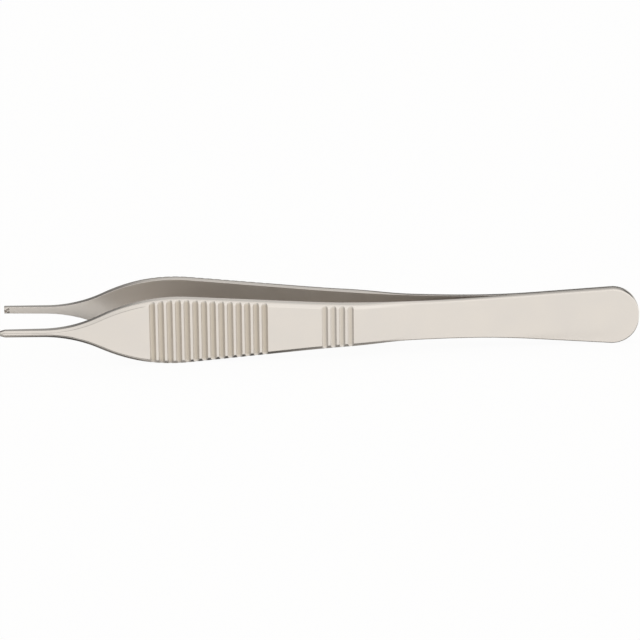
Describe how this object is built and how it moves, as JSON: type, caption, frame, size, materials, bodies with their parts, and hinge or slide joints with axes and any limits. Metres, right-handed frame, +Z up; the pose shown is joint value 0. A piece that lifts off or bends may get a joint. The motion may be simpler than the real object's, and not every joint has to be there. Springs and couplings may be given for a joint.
{
  "type": "thumb forceps",
  "caption": "Fine-tipped toothed thumb forceps: sprung steel arms with broad cross-grooved grips, welded together at a rounded handle end, standing on their lower edges",
  "frame": {"origin": "centre of the footprint, on the surface that the lower edges of both grips and of the handle end rest on", "axes": "+X from the tips to the handle end; +Y across the opening, from the one-tooth arm to the two-tooth arm; +Z up, across the width of the arms"},
  "size_m": [0.1206, 0.0148, 0.0126],
  "materials": {
    "satin_steel": "satin"
  },
  "bodies": {
    "root": {"one_tooth_arm": "satin_steel", "two_tooth_arm": "satin_steel"}
  },
  "joints": []
}
